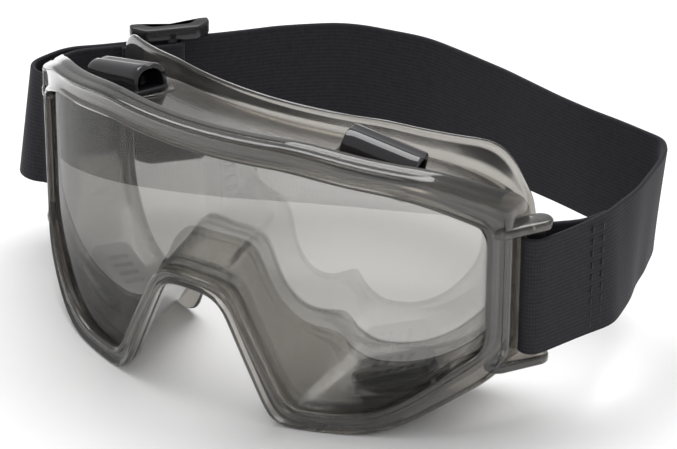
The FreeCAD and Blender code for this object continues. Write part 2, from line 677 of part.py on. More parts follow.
def add_slider():
    """Three-bar slider: two rails, two end bars over the band and a centre bar under it."""
    body = doc.addObject("PartDesign::Body", "slider")
    body.Label = "slider"
    outer = band_t / 2.0 + size("slider_gap")
    deep = -(centre_bar_mid - bar_thick / 2.0)
    formulas = {
        "outer": "(sizes.band_thick / 2 + sizes.slider_gap + sizes.slider_plate)",
        "deep": "%.4f" % deep,
    }
    block = rectangle_sketch(body, "slider_plan", "XZ_Plane", "sizes.slider_length", "sizes.slider_height",
                             lift="-%s" % formulas["outer"])
    add_pad(body, block, "slider_block", "%s + %s" % (formulas["outer"], formulas["deep"]))
    doc.recompute()
    # room for the band and, below it, everything but the centre bar
    bay = rectangle_sketch(body, "slider_bay_plan", "XZ_Plane", "sizes.slider_length + 2",
                           "sizes.band_width + 2 * sizes.slider_gap", lift="-%.4f" % outer)
    add_pocket(body, bay, "slider_bay", "%.4f + %s + 1" % (outer, formulas["deep"]), reverse=True)
    slot = rectangle_sketch(
        body, "slider_slot_plan", "XZ_Plane", "sizes.slider_length - 2 * sizes.slider_bar",
        "sizes.band_width + 2 * sizes.slider_gap", lift="-%s" % formulas["outer"])
    add_pocket(body, slot, "slider_slot", "sizes.slider_plate + 1", reverse=True)
    bar = rectangle_sketch(
        body, "slider_bar_plan", "XZ_Plane", "sizes.slider_bar", "sizes.slider_height - sizes.bar_inset",
        lift="%.4f" % (deep - bar_thick))
    add_pad(body, bar, "slider_centre_bar", "sizes.slider_plate")
    doc.recompute()
    body.Placement = slider_place
    subparts.append(body)
    return body


def slider_points(points):
    """Plan points given along and outward from the slider's centre."""
    placed = []
    for s, d, r in points:
        p = SLIDER_CENTRE + SLIDER_RUN * s + SLIDER_OUT * d
        placed.append((p.x, p.y, r))
    return placed


def stitch_rows(centre, along, outward, rows, depth_low, depth_high):
    """Rows of upright thread bars through the plies, one solid each."""
    bars = []
    count = int((size("band_width") - size("stitch_margin")) / size("stitch_pitch"))
    thread = size("thread")
    for s in rows:
        for i in range(count + 1):
            z = size("band_mid") + (i - count / 2.0) * size("stitch_pitch") - size("stitch") / 2.0
            bar = Part.makeBox(depth_high - depth_low, thread, size("stitch"), Vector(0, -thread / 2.0, 0))
            start = centre + along * s + outward * depth_low
            turn = Rotation(outward, UP.cross(outward), UP, "ZXY")
            bar.Placement = Placement(Vector(start.x, start.y, z), turn)
            bars.append(bar)
    return Part.makeCompound(bars)


band_low = size("band_mid") - size("band_width") / 2.0
band_high = size("band_mid") + size("band_width") / 2.0
add_shape("mask_body", make_mask())
add_shape("lens", make_lens())
for vent, vent_place in VENTS.items():
    rise_name = "top_cap_rise" if vent.startswith("top") else "low_cap_rise"
    add_vent_cap("vent_cap_" + vent, vent_place, rise_name)
    add_vent_clip("vent_clip_" + vent, vent_place)
add_shape("headband", ribbon(BAND_ROUTE, band_t, band_low, band_high))
# the sewn end wraps the slider's centre bar and its two plies come together ahead of it
bar_turn = (INNER_LAYER - (centre_bar_mid - bar_thick / 2.0 - size("bar_gap") - band_t / 2.0)) / 2.0
bar_reach = size("slider_bar") / 2.0 + bar_turn
far_layer = INNER_LAYER - 2 * bar_turn
ply_step = band_t + size("ply_gap")
end_layer = INNER_LAYER - ply_step
second_layer = end_layer - ply_step
end_bend = size("end_bend")
band_end_points = slider_points([
    (size("end_front"), end_layer, 0), (size("end_seam"), end_layer, end_bend),
    (end_bend + 0.5, INNER_LAYER, end_bend),
    (-bar_reach, INNER_LAYER, bar_turn), (-bar_reach, far_layer, bar_turn),
    (end_bend, far_layer, end_bend), (size("end_seam"), second_layer, end_bend),
    (size("end_front") - 1.0, second_layer, 0),
])
add_shape("headband_end", ribbon(band_end_points, band_t, band_low, band_high))
proud = size("thread_proud")
_, left_along, left_out = local_frame(left_post, LEFT_POST_LEAN, 1)
lap_low = loop_side - 1.5 * band_t - size("ply_gap") - proud
lap_high = loop_side + band_t / 2.0 + proud
left_rows = (size("seam_near"), size("seam_far"))
add_shape("seam_left", stitch_rows(left_post, left_along, left_out, left_rows, lap_low, lap_high))
end_low = second_layer - band_t / 2.0 - proud
end_high = end_layer + band_t / 2.0 + size("thread_proud") * 2 / 3
end_rows = (size("end_row_near"), size("end_row_far"))
add_shape("seam_right", stitch_rows(SLIDER_CENTRE, SLIDER_RUN, SLIDER_OUT, end_rows, end_low, end_high))
add_slider()
doc.recompute()

# ---------------------------------------------------------------- checks and export
for item in doc.Objects:
    if "Invalid" in item.State or "Error" in item.State:
        raise RuntimeError("%s did not compute: %s" % (item.Name, item.State))
for part in subparts:
    if part.Shape.isNull() or not part.Shape.isValid():
        raise RuntimeError("%s has no valid shape" % part.Label)
for part in subparts:
    part.Shape.exportStep(os.path.join("parts", part.Label + ".step"))
    box = part.Shape.BoundBox
    print("%-24s solids %2d volume %9.1f  x %7.1f %7.1f  y %7.1f %7.1f  z %6.1f %6.1f" % (
        part.Label, len(part.Shape.Solids), part.Shape.Volume,
        box.XMin, box.XMax, box.YMin, box.YMax, box.ZMin, box.ZMax))
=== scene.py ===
import math

import bmesh
import bpy
import numpy as np
from mathutils import Matrix, Vector


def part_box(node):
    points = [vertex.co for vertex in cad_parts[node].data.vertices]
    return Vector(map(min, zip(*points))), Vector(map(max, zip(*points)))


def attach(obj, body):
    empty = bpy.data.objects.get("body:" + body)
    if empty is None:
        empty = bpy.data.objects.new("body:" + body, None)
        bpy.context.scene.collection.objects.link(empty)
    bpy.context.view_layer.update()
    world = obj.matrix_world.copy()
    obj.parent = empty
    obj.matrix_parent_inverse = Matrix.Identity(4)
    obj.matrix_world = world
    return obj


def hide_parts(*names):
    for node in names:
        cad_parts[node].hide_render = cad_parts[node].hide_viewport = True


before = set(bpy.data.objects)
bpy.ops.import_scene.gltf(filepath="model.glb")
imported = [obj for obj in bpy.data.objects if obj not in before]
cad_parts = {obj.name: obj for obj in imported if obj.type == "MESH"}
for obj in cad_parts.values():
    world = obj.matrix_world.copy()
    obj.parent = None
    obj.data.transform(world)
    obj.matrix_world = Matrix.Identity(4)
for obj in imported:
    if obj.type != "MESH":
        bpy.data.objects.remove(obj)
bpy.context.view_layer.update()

MM = 0.001

# ---------------------------------------------------------------- sizes, in millimetres
LENS_R = 107.80
AXIS_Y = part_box("lens")[0][1] / MM + LENS_R
RIM_BACK = -4.5                      # back of the rim, measured from the lens's outer face
FACE_R = 115.0
FACE_Y = AXIS_Y - LENS_R + 38.8 + FACE_R
FLANGE_T = 1.6
FRONT_Y = AXIS_Y - LENS_R - 6.0
REAR_Y = FRONT_Y + 74.0
WALL = 1.7
HALF = 85.5
TALL = 92.7
WIN_HALF = HALF - 5.0
WIN_TOP = TALL - 8.1
WIN_LOW = 5.5
CHEEK = 20.0
LOBE_IN = 27.5
LOBE_OUT = 58.0
NOSE_TOP = 38.9
NOSE_HALF = 9.0
NOSE_BALL = (0.0, AXIS_Y - LENS_R + 45.8, NOSE_TOP - 4.9, 30.0)

RIM = [
    (34.0, TALL - 0.4, 60.0), (HALF - 18.0, TALL - 8.2, 30.0), (HALF, TALL - 18.7, 7.0),
    (HALF, CHEEK, 12.0), (LOBE_OUT, 0.0, 28.0), (LOBE_IN, 0.0, 7.5), (NOSE_HALF + 1.0, NOSE_TOP, 8.0),
]
WINDOW = [
    (32.0, WIN_TOP - 0.3, 60.0), (WIN_HALF - 15.5, WIN_TOP - 6.8, 38.0), (WIN_HALF, WIN_TOP - 17.6, 4.5),
    (WIN_HALF, CHEEK + 7.0, 8.0), (LOBE_OUT - 2.6, WIN_LOW, 30.0), (LOBE_IN + 3.6, WIN_LOW, 5.5),
    (NOSE_HALF + 3.2, NOSE_TOP + 4.5, 9.0),
]
WALL_FRONT = [
    (34.0, TALL - 5.2, 60.0), (HALF - 17.5, TALL - 12.4, 30.0), (HALF - 1.7, TALL - 23.0, 8.0),
    (HALF - 1.7, CHEEK + 2.0, 12.0), (LOBE_OUT, 2.2, 28.0), (LOBE_IN + 1.5, 2.2, 8.0),
    (NOSE_HALF + 1.2, NOSE_TOP + 1.3, 7.0),
]
WALL_REAR = [
    (38.0, TALL - 17.4, 60.0), (HALF - 19.5, TALL - 23.0, 22.0), (HALF - 10.7, TALL - 32.0, 11.0),
    (HALF - 10.7, CHEEK + 4.5, 14.0), (LOBE_OUT - 2.0, 12.6, 28.0), (LOBE_IN + 3.0, 12.6, 8.0),
    (NOSE_HALF + 1.6, NOSE_TOP + 27.5, 7.0),
]
FLANGE = [
    (38.0, TALL - 6.6, 60.0), (HALF - 16.0, TALL - 11.7, 9.0), (HALF - 9.0, TALL - 32.7, 20.0),
    (HALF - 9.0, CHEEK + 3.0, 18.0), (LOBE_OUT - 1.0, 0.3, 28.0), (LOBE_IN + 2.0, 0.3, 9.0),
    (NOSE_HALF + 0.6, NOSE_TOP + 14.0, 6.0),
]
OPENING = [
    (38.0, TALL - 15.5, 60.0), (HALF - 23.0, TALL - 21.5, 22.0), (HALF - 17.0, TALL - 33.0, 12.0),
    (HALF - 17.0, CHEEK + 9.0, 20.0), (LOBE_OUT - 6.0, 12.2, 26.0), (LOBE_IN + 3.5, 12.2, 10.0),
    (NOSE_HALF + 5.5, NOSE_TOP + 12.5, 7.0),
]


# ---------------------------------------------------------------- outlines
def full(half):
    return half + [(-x, z, r) for x, z, r in reversed(half)]


def grown(points, step):
    """Parallel outline, step outwards."""
    count = len(points)
    out = []
    p = [np.array(q[:2], float) for q in points]
    for i in range(count):
        a, b, c = p[i - 1], p[i], p[(i + 1) % count]
        u = (b - a) / np.linalg.norm(b - a)
        v = (c - b) / np.linalg.norm(c - b)
        nu, nv = np.array([-u[1], u[0]]), np.array([-v[1], v[0]])
        cross = u[0] * v[1] - u[1] * v[0]
        corner = b + nu * step + u * np.dot((nv - nu) * step, nv) / np.dot(u, nv)
        out.append((corner[0], corner[1], max(points[i][2] + (step if cross < 0 else -step), 0.4)))
    return out


def corners_of(points):
    """Start, centre and end of each rounded corner's arc."""
    count = len(points)
    arcs = []
    for i in range(count):
        a, b, c = (np.array(points[j % count][:2], float) for j in (i - 1, i, i + 1))
        r = points[i][2]
        ta = (a - b) / np.linalg.norm(a - b)
        tc = (c - b) / np.linalg.norm(c - b)
        inside = math.acos(np.clip(np.dot(ta, tc), -1, 1))
        reach = r / math.tan(inside / 2)
        towards = (ta + tc) / np.linalg.norm(ta + tc)
        centre = b + towards * r / math.sin(inside / 2)
        arcs.append((b + ta * reach, centre, b + tc * reach))
    return arcs


def steps_for(points, pitch):
    """Samples for each arc and each run, from the outline's own lengths."""
    arcs = corners_of(points)
    counts = []
    for i, (start, centre, end) in enumerate(arcs):
        r = np.linalg.norm(start - centre)
        chord = np.linalg.norm(end - start)
        arc = 2 * r * math.asin(min(1.0, chord / (2 * r)))
        run = np.linalg.norm(arcs[(i + 1) % len(arcs)][0] - end)
        counts.append((max(3, round(arc / pitch)), max(1, round(run / pitch))))
    return counts


def sampled(points, counts, passes=4):
    """Points round the outline, the same number for each outline given the same counts."""
    arcs = corners_of(points)
    samples = []
    for i, (start, centre, end) in enumerate(arcs):
        n_arc, n_run = counts[i]
        a0 = math.atan2(*(start - centre)[::-1])
        a1 = math.atan2(*(end - centre)[::-1])
        turn = (a1 - a0 + math.pi) % (2 * math.pi) - math.pi
        r = np.linalg.norm(start - centre)
        for k in range(n_arc):
            a = a0 + turn * k / n_arc
            samples.append(centre + r * np.array([math.cos(a), math.sin(a)]))
        follow = arcs[(i + 1) % len(arcs)][0]
        for k in range(n_run):
            samples.append(end + (follow - end) * k / n_run)
    s = np.array(samples)
    for _ in range(passes):
        s = 0.25 * np.roll(s, 1, 0) + 0.5 * s + 0.25 * np.roll(s, -1, 0)
    return s


COUNTS = steps_for(full(RIM), 1.9)


def loop(half, step=0.0):
    outline = full(half)
    return sampled(grown(outline, step) if step else outline, COUNTS)


def on_lens(xz, r):
    """Puts (x, z) points on the upright cylinder r outside the lens's face."""
    y = AXIS_Y - np.sqrt((LENS_R + r) ** 2 - xz[:, 0] ** 2)
    return np.column_stack([xz[:, 0], y, xz[:, 1]])


def face_y(x, thick=0.0):
    return FACE_Y - np.sqrt((FACE_R + thick) ** 2 - x ** 2)


# ---------------------------------------------------------------- mesh helpers
def new_object(name, verts, faces, material, smooth=40.0):
    """Mesh object from millimetre points: smooth shading, sharp where faces meet above an angle."""
    mesh = bpy.data.meshes.new(name)
    mesh.from_pydata([tuple(c * MM for c in v) for v in verts], [], faces)
    obj = bpy.data.objects.new(name, mesh)
    bpy.context.scene.collection.objects.link(obj)
    mesh.materials.append(material)
    finish_mesh(obj, smooth)
    return obj


def finish_mesh(obj, smooth=40.0):
    bm = bmesh.new()
    bm.from_mesh(obj.data)
    bmesh.ops.remove_doubles(bm, verts=bm.verts, dist=2e-6)
    bmesh.ops.recalc_face_normals(bm, faces=bm.faces)
    limit = math.radians(smooth)
    for face in bm.faces:
        face.smooth = True
    for edge in bm.edges:
        if len(edge.link_faces) == 2:
            edge.smooth = edge.calc_face_angle(0.0) < limit
    bm.to_mesh(obj.data)
    bm.free()
    obj.data.update()


def ring_faces(rings, size, closed_rings=False, closed=True):
    """Quads between successive rings of points."""
    faces = []
    last = rings if closed_rings else rings - 1
    span = size if closed else size - 1
    for i in range(last):
        for j in range(span):
            a = i * size + j
            b = i * size + (j + 1) % size
            c = ((i + 1) % rings) * size + (j + 1) % size
            d = ((i + 1) % rings) * size + j
            faces.append((a, b, c, d))
    return faces


def stacked(name, rings, material, smooth=40.0, place=None):
    """Closed piece from a stack of rings; each end is closed with a fan."""
    size = len(rings[0])
    verts = [tuple(p) for ring in rings for p in ring]
    faces = ring_faces(len(rings), size)
    for index in (0, len(rings) - 1):
        centre = np.mean(np.array(rings[index]), axis=0)
        verts.append(tuple(centre))
        base = index * size
        faces += [(base + j, base + (j + 1) % size, len(verts) - 1) for j in range(size)]
    if place is not None:
        verts = [tuple(place @ Vector(v)) for v in verts]
    return new_object(name, verts, faces, material, smooth)


def joined(name, objects):
    """One object from several, without welding them."""
    bpy.ops.object.select_all(action="DESELECT")
    for obj in objects:
        obj.select_set(True)
    bpy.context.view_layer.objects.active = objects[0]
    bpy.ops.object.join()
    objects[0].name = name
    objects[0].data.name = name
    return objects[0]


def cut(obj, cutters, operation="DIFFERENCE"):
    """Boolean with each cutter, applied to the mesh."""
    for cutter in cutters:
        mod = obj.modifiers.new("cut", "BOOLEAN")
        mod.operation = operation
        mod.solver = "EXACT"
        mod.object = cutter
        bpy.context.view_layer.objects.active = obj
        bpy.ops.object.modifier_apply(modifier=mod.name)
        bpy.data.objects.remove(cutter, do_unlink=True)


def rounded_rectangle(length, width, radius, steps=6):
    """Points round a rectangle about the origin, counter-clockwise."""
    out = []
    for cx, cy, a0 in ((1, 1, 0), (-1, 1, 90), (-1, -1, 180), (1, -1, 270)):
        for k in range(steps + 1):
            a = math.radians(a0 + 90 * k / steps)
            out.append((cx * (length / 2 - radius) + radius * math.cos(a),
                        cy * (width / 2 - radius) + radius * math.sin(a)))
    return out


def block(name, length, width, radius, levels, material, place=None):
    """Rounded block: levels are (height, inset) pairs from bottom to top."""
    rings = []
    for z, inset in levels:
        r = max(radius - inset, 0.05)
        plan = rounded_rectangle(length - 2 * inset, width - 2 * inset, r)
        rings.append([(x, y, z) for x, y in plan])
    return stacked(name, rings, material, place=place)


# ---------------------------------------------------------------- materials
def material(name):
    mat = bpy.data.materials.new(name)
    mat.use_nodes = True
    return mat, mat.node_tree.nodes, mat.node_tree.links, mat.node_tree.nodes["Principled BSDF"]


def coordinates(nodes, links, scale):
    coord = nodes.new("ShaderNodeTexCoord")
    mapping = nodes.new("ShaderNodeMapping")
    mapping.inputs["Scale"].default_value = scale
    links.new(coord.outputs["Object"], mapping.inputs["Vector"])
    return mapping.outputs["Vector"]


def noise(nodes, links, vector, scale, detail=3.0):
    node = nodes.new("ShaderNodeTexNoise")
    node.inputs["Scale"].default_value = scale
    node.inputs["Detail"].default_value = detail
    links.new(vector, node.inputs["Vector"])
    return node.outputs["Fac"]


def ramp(nodes, links, value, stops):
    node = nodes.new("ShaderNodeValToRGB")
    elements = node.color_ramp.elements
    while len(elements) < len(stops):
        elements.new(0.5)
    for element, (position, colour) in zip(elements, stops):
        element.position = position
        element.color = (*colour, 1.0)
    links.new(value, node.inputs["Fac"])
    return node.outputs["Color"]


def ranged(nodes, links, value, low, high):
    node = nodes.new("ShaderNodeMapRange")
    node.inputs["To Min"].default_value = low
    node.inputs["To Max"].default_value = high
    links.new(value, node.inputs["Value"])
    return node.outputs["Result"]


def bump(nodes, links, value, bsdf, strength, distance):
    node = nodes.new("ShaderNodeBump")
    node.inputs["Strength"].default_value = strength
    node.inputs["Distance"].default_value = distance
    links.new(value, node.inputs["Height"])
    links.new(node.outputs["Normal"], bsdf.inputs["Normal"])


def absorb(nodes, links, colour, density):
    """Tint that deepens with thickness."""
    node = nodes.new("ShaderNodeVolumeAbsorption")
    node.inputs["Color"].default_value = (*colour, 1.0)
    node.inputs["Density"].default_value = density
    links.new(node.outputs["Volume"], nodes["Material Output"].inputs["Volume"])


def clear_vinyl():
    mat, nodes, links, bsdf = material("smoke_vinyl")
    vector = coordinates(nodes, links, (1, 1, 1))
    cloud = noise(nodes, links, vector, 35.0)
    tint = ramp(nodes, links, cloud, [(0.3, (0.70, 0.685, 0.66)), (0.7, (0.80, 0.785, 0.76))])
    links.new(tint, bsdf.inputs["Base Color"])
    links.new(ranged(nodes, links, noise(nodes, links, vector, 160.0), 0.12, 0.2), bsdf.inputs["Roughness"])
    bump(nodes, links, noise(nodes, links, vector, 260.0, 2.0), bsdf, 0.03, 0.0001)
    bsdf.inputs["Coat Weight"].default_value = 0.8
    bsdf.inputs["Coat Roughness"].default_value = 0.04
    bsdf.inputs["Transmission Weight"].default_value = 0.97
    bsdf.inputs["IOR"].default_value = 1.46
    absorb(nodes, links, (0.12, 0.07, 0.0), 310.0)
    return mat


def lens_plastic():
    mat, nodes, links, bsdf = material("lens_clear")
    vector = coordinates(nodes, links, (1, 1, 1))
    haze = noise(nodes, links, vector, 22.0)
    tint = ramp(nodes, links, haze, [(0.3, (0.93, 0.93, 0.92)), (0.7, (0.96, 0.96, 0.95))])
    links.new(tint, bsdf.inputs["Base Color"])
    links.new(ranged(nodes, links, noise(nodes, links, vector, 300.0), 0.0, 0.03), bsdf.inputs["Roughness"])
    bsdf.inputs["Transmission Weight"].default_value = 1.0
    bsdf.inputs["IOR"].default_value = 1.45
    bsdf.inputs["Alpha"].default_value = 0.5
    absorb(nodes, links, (0.06, 0.04, 0.0), 300.0)
    return mat


def black_gloss(name, colour, rough, coat):
    mat, nodes, links, bsdf = material(name)
    vector = coordinates(nodes, links, (1, 1, 1))
    tone = noise(nodes, links, vector, 60.0)
    low = tuple(c * 0.75 for c in colour)
    links.new(ramp(nodes, links, tone, [(0.3, low), (0.7, colour)]), bsdf.inputs["Base Color"])
    grain = noise(nodes, links, vector, 240.0)
    links.new(ranged(nodes, links, grain, rough * 0.7, rough * 1.3), bsdf.inputs["Roughness"])
    bump(nodes, links, noise(nodes, links, vector, 900.0, 2.0), bsdf, 0.12, 0.0001)
    bsdf.inputs["Coat Weight"].default_value = coat
    bsdf.inputs["Coat Roughness"].default_value = 0.06
    return mat


def woven(name, colour, pitch):
    """Ribbed elastic: lengthwise ribs by height and a fine cross weave by the run along the band; colour has
    painted shade in the hollows and a painted highlight on the crowns.
    """
    mat, nodes, links, bsdf = material(name)
    uv = nodes.new("ShaderNodeUVMap")
    uv.uv_map = "band"
    split = nodes.new("ShaderNodeSeparateXYZ")
    links.new(uv.outputs["UV"], split.inputs["Vector"])

    def wave(axis, period):
        scaled = nodes.new("ShaderNodeMath")
        scaled.operation = "MULTIPLY"
        scaled.inputs[1].default_value = 2 * math.pi / period
        links.new(split.outputs[axis], scaled.inputs[0])
        sine = nodes.new("ShaderNodeMath")
        sine.operation = "SINE"
        links.new(scaled.outputs[0], sine.inputs[0])
        return ranged_from(sine.outputs[0])

    def ranged_from(value):
        node = nodes.new("ShaderNodeMapRange")
        node.inputs["From Min"].default_value = -1.0
        links.new(value, node.inputs["Value"])
        return node.outputs["Result"]

    ribs = wave("Y", pitch)
    picks = wave("X", 0.72)
    both = nodes.new("ShaderNodeMath")
    both.operation = "MULTIPLY"
    links.new(ribs, both.inputs[0])
    links.new(picks, both.inputs[1])
    vector = coordinates(nodes, links, (1, 1, 1))
    fuzz = noise(nodes, links, vector, 700.0, 4.0)
    mixed = nodes.new("ShaderNodeMath")
    mixed.operation = "MULTIPLY_ADD"
    mixed.inputs[1].default_value = 0.55
    links.new(both.outputs[0], mixed.inputs[0])
    links.new(fuzz, mixed.inputs[2])
    # colour follows the rib relief: painted shade darkens the hollows and a painted highlight lifts the
    # crowns, over the weave's own pattern and random fuzz
    painted_hollow_shade = tuple(c * 0.55 for c in colour)
    light = tuple(c * 1.35 for c in colour)
    links.new(ramp(nodes, links, mixed.outputs[0], [(0.2, painted_hollow_shade), (1.1, light)]), bsdf.inputs["Base Color"])
    links.new(ranged(nodes, links, fuzz, 0.75, 0.95), bsdf.inputs["Roughness"])
    bump(nodes, links, mixed.outputs[0], bsdf, 0.3, 0.0002)
    bsdf.inputs["Sheen Weight"].default_value = 0.08
    bsdf.inputs["Specular IOR Level"].default_value = 0.25
    bsdf.inputs["Sheen Roughness"].default_value = 0.4
    return mat


VINYL = clear_vinyl()
LENS = lens_plastic()
BLACK = black_gloss("vent_black", (0.012, 0.012, 0.015), 0.12, 0.6)
CLIP = black_gloss("clip_black", (0.03, 0.03, 0.034), 0.35, 0.0)
BUCKLE = black_gloss("slider_black", (0.014, 0.014, 0.016), 0.3, 0.2)
RIB_PITCH = 1.27
ELASTIC = woven("ribbed_elastic", (0.024, 0.024, 0.029), RIB_PITCH)
THREAD = black_gloss("seam_thread", (0.016, 0.016, 0.018), 0.6, 0.0)


# ---------------------------------------------------------------- mask
def march(front, rear, start_r):
    """Where a tapering wall leaves the rim and where it ends, for each point round the outline."""
    def at(y):
        share = (y - FRONT_Y) / (REAR_Y - FRONT_Y)
        return front + (rear - front) * share[:, None]

    n = len(front)
    y = np.full(n, AXIS_Y - LENS_R)
    for _ in range(12):
        y = AXIS_Y - np.sqrt((LENS_R + start_r) ** 2 - at(y)[:, 0] ** 2)
    begin = y.copy()
    ball = np.array(NOSE_BALL[:3])
    ends = {}
    for kind in ("face", "both"):
        done = np.zeros(n, bool)
        y = begin.copy()
        for _ in range(700):
            xz = at(y)
            inside = (xz[:, 0] ** 2 + (y - FACE_Y) ** 2) < FACE_R ** 2
            if kind == "both":
                gap = (xz[:, 0] - ball[0]) ** 2 + (y - ball[1]) ** 2 + (xz[:, 1] - ball[2]) ** 2
                inside |= gap < NOSE_BALL[3] ** 2
            done |= inside
            y = np.where(done, y, y + 0.1)
        ends[kind] = y
    return at, begin, ends["both"], ends["face"]


def smooth_values(values, passes):
    for _ in range(passes):
        values = 0.25 * np.roll(values, 1, 0) + 0.5 * values + 0.25 * np.roll(values, -1, 0)
    return values


def build_mask():
    window = {k: loop(WINDOW, k) for k in (0.0, 0.25, 0.4, 0.8, 1.3, 1.8, 2.1, 3.12)}
    rim = {k: loop(RIM, -k) for k in (0.0, 0.05, 0.2, 0.3, 0.7, 0.8, 1.1, 1.6)}
    out_at, out_start, out_end, out_face = march(loop(WALL_FRONT), loop(WALL_REAR), RIM_BACK)
    in_at, in_start, in_end, _ = march(loop(WALL_FRONT, -WALL), loop(WALL_REAR, -WALL), RIM_BACK)
    out_end, in_end = smooth_values(out_end, 3), smooth_values(in_end, 3)
    reach = smooth_values(np.clip(1.0 - (out_face - out_end) / 3.0, 0.0, 1.0), 6)
    keep = np.clip(reach, 0.05, 1.0)[:, None]

    def plain(xz, y):
        return np.column_stack([xz[:, 0], y, xz[:, 1]])

    section = [
        on_lens(window[0.0], 0.12), on_lens(window[0.0], 1.2), on_lens(window[0.25], 1.95),
        on_lens(window[0.8], 2.3), on_lens(window[1.3], 2.2), on_lens(window[1.8], 1.7),
        on_lens(window[2.1], 1.35),
    ]
    inner, outer = window[2.1], rim[1.6]
    section += [on_lens(inner + (outer - inner) * s, r) for s, r in ((0.33, 1.25), (0.66, 1.35))]
    section += [on_lens(rim[k], r) for k, r in (
        (1.6, 1.7), (1.1, 2.3), (0.7, 2.5), (0.3, 2.35), (0.05, 1.9), (0.0, 1.2), (0.0, -0.3),
        (0.3, -0.65), (0.3, -1.15), (0.0, -1.5), (0.0, -3.4), (0.2, -4.1), (0.8, RIM_BACK))]

    # outside of the wall, from the rim's back to the flange
    first = out_at(out_start)
    section.append(on_lens(rim[0.8] + (first - rim[0.8]) * 0.7, RIM_BACK))
    turn = 0.9
    outside_end = out_end - FLANGE_T
    for share in (0.0, 0.08, 0.25, 0.45, 0.65, 0.85):
        y = (out_start + 0.5) + (outside_end - turn - out_start - 0.5) * share
        section.append(plain(out_at(y), y))
    root_out = out_at(outside_end)
    delta_out = face_y(root_out[:, 0], FLANGE_T) - outside_end
    edge = {k: root_out + (loop(FLANGE, -k) - root_out) * keep for k in (0.0, 0.25, 0.7)}
    mid = outside_end - turn * 0.3
    mid_xz = out_at(mid) + (edge[0.0] - out_at(mid)) * 0.03
    section.append(plain(mid_xz, mid))

    def on_face(xz, delta, thick):
        return plain(xz, face_y(xz[:, 0], thick) - delta)

    spread = edge[0.0] - root_out
    section += [on_face(root_out + spread * s, delta_out, FLANGE_T) for s in (0.12, 0.4, 0.7)]
    section += [on_face(edge[0.7], delta_out, FLANGE_T), on_face(edge[0.25], delta_out, FLANGE_T - 0.25),
                on_face(edge[0.0], delta_out, FLANGE_T * 0.55), on_face(edge[0.25], delta_out, 0.2)]
    root_in = in_at(in_end)
    delta_in = face_y(root_in[:, 0], FLANGE_T) - (in_end - FLANGE_T)
    hole = {k: root_in + (loop(OPENING, k) - root_in) * keep for k in (0.0, 0.25, 0.7)}
    delta_mid = 0.5 * (delta_out + delta_in)
    section += [on_face(edge[0.7], delta_out, 0.0)]
    section += [on_face(edge[0.7] + (hole[0.7] - edge[0.7]) * s, delta_mid, 0.0) for s in (0.25, 0.5, 0.75)]
    section += [on_face(hole[0.7], delta_in, 0.0), on_face(hole[0.25], delta_in, 0.25),
                on_face(hole[0.0], delta_in, FLANGE_T * 0.5), on_face(hole[0.25], delta_in, FLANGE_T - 0.25),
                on_face(hole[0.7], delta_in, FLANGE_T)]
    section += [on_face(hole[0.7] + (root_in - hole[0.7]) * s, delta_in, FLANGE_T) for s in (0.45, 0.85)]

    # inside of the wall, back to the rim
    for share in (0.92, 0.7, 0.5, 0.3, 0.1, 0.02):
        y = (in_start + 0.4) + (in_end - FLANGE_T - in_start - 0.4) * share
        section.append(plain(in_at(y), y))
    section += [on_lens(window[0.4], RIM_BACK), on_lens(window[0.0], RIM_BACK + 0.4)]
    section += [on_lens(window[0.0], -2.12), on_lens(window[3.12], -2.12), on_lens(window[3.12], 0.12)]

    count = len(section[0])
    verts = [tuple(p) for ring in section for p in ring]
    faces = ring_faces(len(section), count, closed_rings=True)
    return new_object("mask_shell", verts, faces, VINYL)


def brow_z(x, y):
    """Height of the outside of the sloping brow wall."""
    levels = []
    for outline in (WALL_FRONT, WALL_REAR):
        (x1, z1, _), (x2, z2, _) = outline[0], outline[1]
        levels.append(z1 + (z2 - z1) * (x - x1) / (x2 - x1))
    share = (y - FRONT_Y) / (REAR_Y - FRONT_Y)
    return levels[0] + (levels[1] - levels[0]) * share


def vent_frames():
    """Each vent's own frame: Z out of the wall, X along the cap."""
    frames = {}
    inner = LENS_R + RIM_BACK
    x = HALF - 39.5
    y = AXIS_Y - math.sqrt(inner ** 2 - x ** 2) + 14.8
    fall = (brow_z(x - 4, y) - brow_z(x + 4, y), brow_z(x, y - 4) - brow_z(x, y + 4), 8.0)
    normal = Vector(fall).normalized()
    centre = Vector((x, y, brow_z(x, y))) - normal * 0.3
    low_x = HALF - 34.0
    tilt = math.radians(21.0)
    low_centre = Vector((low_x, AXIS_Y - math.sqrt(inner ** 2 - low_x ** 2) + 14.0, 10.8))
    low_normal = Vector((math.sin(tilt), 0, -math.cos(tilt)))
    for side, name in ((1, "left"), (-1, "right")):
        for level, c, n, turn in (("top", centre, normal, math.asin(x / 2 / inner)),
                                  ("bottom", low_centre, low_normal, math.radians(20.0))):
            z_axis = Vector((side * n.x, n.y, n.z))
            along = Vector((math.cos(turn), side * math.sin(turn), 0))
            y_axis = z_axis.cross(along).normalized()
            x_axis = y_axis.cross(z_axis)
            m = Matrix((x_axis, y_axis, z_axis)).transposed().to_4x4()
            m.translation = Vector((side * c.x, c.y, c.z))
            frames[level + "_" + name] = m
    return frames


mask = build_mask()
slit = block("slit", 0.9, 9.5, 0.3, [(40.4, 0.0), (52.4, 0.0)], VINYL,
             Matrix.Translation((8.25, AXIS_Y - 99.0 + 4.75, 0.0)))
cut(mask, [slit])
VENTS = vent_frames()
for place in VENTS.values():
    seat_levels = [(-2.0, 0.4), (-1.6, 0.0), (-0.6, 0.0), (-0.2, 0.4)]
    seat = block("seat", 29.0, 18.0, 4.0, seat_levels, VINYL, place)
    cut(mask, [seat], "UNION")
    cut(mask, [block("recess", 27.2, 16.2, 3.8, [(0.0, 0.0), (7.0, 0.0)], VINYL, place),
               block("hole", 18.4, 8.9, 0.6, [(-6.0, 0.0), (0.5, 0.0)], VINYL, place)])
finish_mesh(mask)
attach(mask, "mask")
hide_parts("mask_body")


